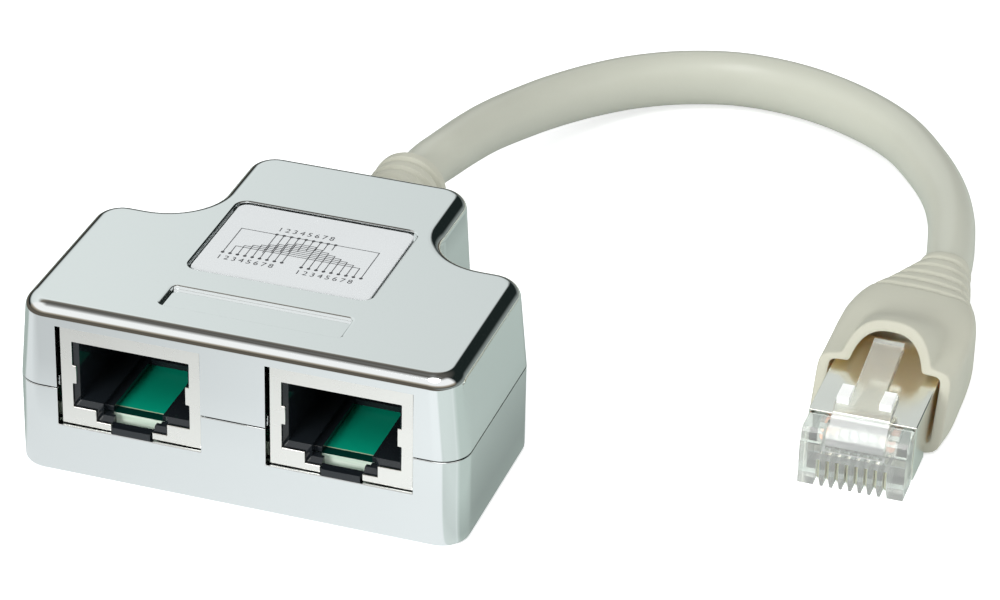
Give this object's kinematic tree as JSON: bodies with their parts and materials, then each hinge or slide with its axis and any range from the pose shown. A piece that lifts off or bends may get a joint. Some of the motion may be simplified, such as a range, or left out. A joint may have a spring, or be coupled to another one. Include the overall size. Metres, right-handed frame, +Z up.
{
  "type": "network jack splitter adapter",
  "caption": "Plated T-shaped network splitter with side-by-side jacks in front, a wiring label on its roof, and a short moulded cord ending in a shielded clear plug with a hooded boot.",
  "frame": {"origin": "centre of the housing's base, on the table", "axes": "+X to the right along the jacks' face, towards the plug; -Y the way the jacks and the plug face; +Z up"},
  "size_m": [0.0905, 0.1077, 0.0197],
  "materials": {
    "plated_shell": "bright plated plastic, near-mirror",
    "label": "printed plastic label with a black wiring diagram of dots joined by thin lines",
    "board": "green solder mask over glass fibre",
    "jack_shield": "satin nickel plate",
    "jack_insert": "black semi-gloss moulding",
    "gold_contact": "gold plate",
    "cord_jacket": "grey-beige soft vinyl, satin",
    "soft_moulding": "grey-beige soft vinyl, satin",
    "clear_plug": "clear moulded plastic",
    "plug_shield": "satin nickel plate",
    "orange_white_wire": "wire insulation",
    "orange_wire": "wire insulation",
    "green_white_wire": "wire insulation",
    "blue_wire": "wire insulation",
    "blue_white_wire": "wire insulation",
    "green_wire": "wire insulation",
    "brown_white_wire": "wire insulation",
    "brown_wire": "wire insulation"
  },
  "bodies": {
    "root": {"upper_shell": "plated_shell", "lower_shell": "plated_shell", "wiring_label": "label", "circuit_board": "board", "cable_inner_end": "cord_jacket", "board_wire_1": "orange_white_wire", "board_wire_2": "orange_wire", "board_wire_3": "green_white_wire", "board_wire_4": "blue_wire", "board_wire_5": "blue_white_wire", "board_wire_6": "green_wire", "board_wire_7": "brown_white_wire", "board_wire_8": "brown_wire", "left_jack_shield": "jack_shield", "left_jack_body": "jack_insert", "left_jack_contact_1": "gold_contact", "left_jack_contact_2": "gold_contact", "left_jack_contact_3": "gold_contact", "left_jack_contact_4": "gold_contact", "left_jack_contact_5": "gold_contact", "left_jack_contact_6": "gold_contact", "left_jack_contact_7": "gold_contact", "left_jack_contact_8": "gold_contact", "right_jack_shield": "jack_shield", "right_jack_body": "jack_insert", "right_jack_contact_1": "gold_contact", "right_jack_contact_2": "gold_contact", "right_jack_contact_3": "gold_contact", "right_jack_contact_4": "gold_contact", "right_jack_contact_5": "gold_contact", "right_jack_contact_6": "gold_contact", "right_jack_contact_7": "gold_contact", "right_jack_contact_8": "gold_contact", "strain_relief": "soft_moulding", "cable": "cord_jacket", "plug_body": "clear_plug", "plug_shield": "plug_shield", "plug_boot": "soft_moulding", "plug_contact_1": "gold_contact", "plug_contact_2": "gold_contact", "plug_contact_3": "gold_contact", "plug_contact_4": "gold_contact", "plug_contact_5": "gold_contact", "plug_contact_6": "gold_contact", "plug_contact_7": "gold_contact", "plug_contact_8": "gold_contact", "plug_wire_1": "orange_white_wire", "plug_wire_2": "orange_wire", "plug_wire_3": "green_white_wire", "plug_wire_4": "blue_wire", "plug_wire_5": "blue_white_wire", "plug_wire_6": "green_wire", "plug_wire_7": "brown_white_wire", "plug_wire_8": "brown_wire"}
  },
  "joints": []
}
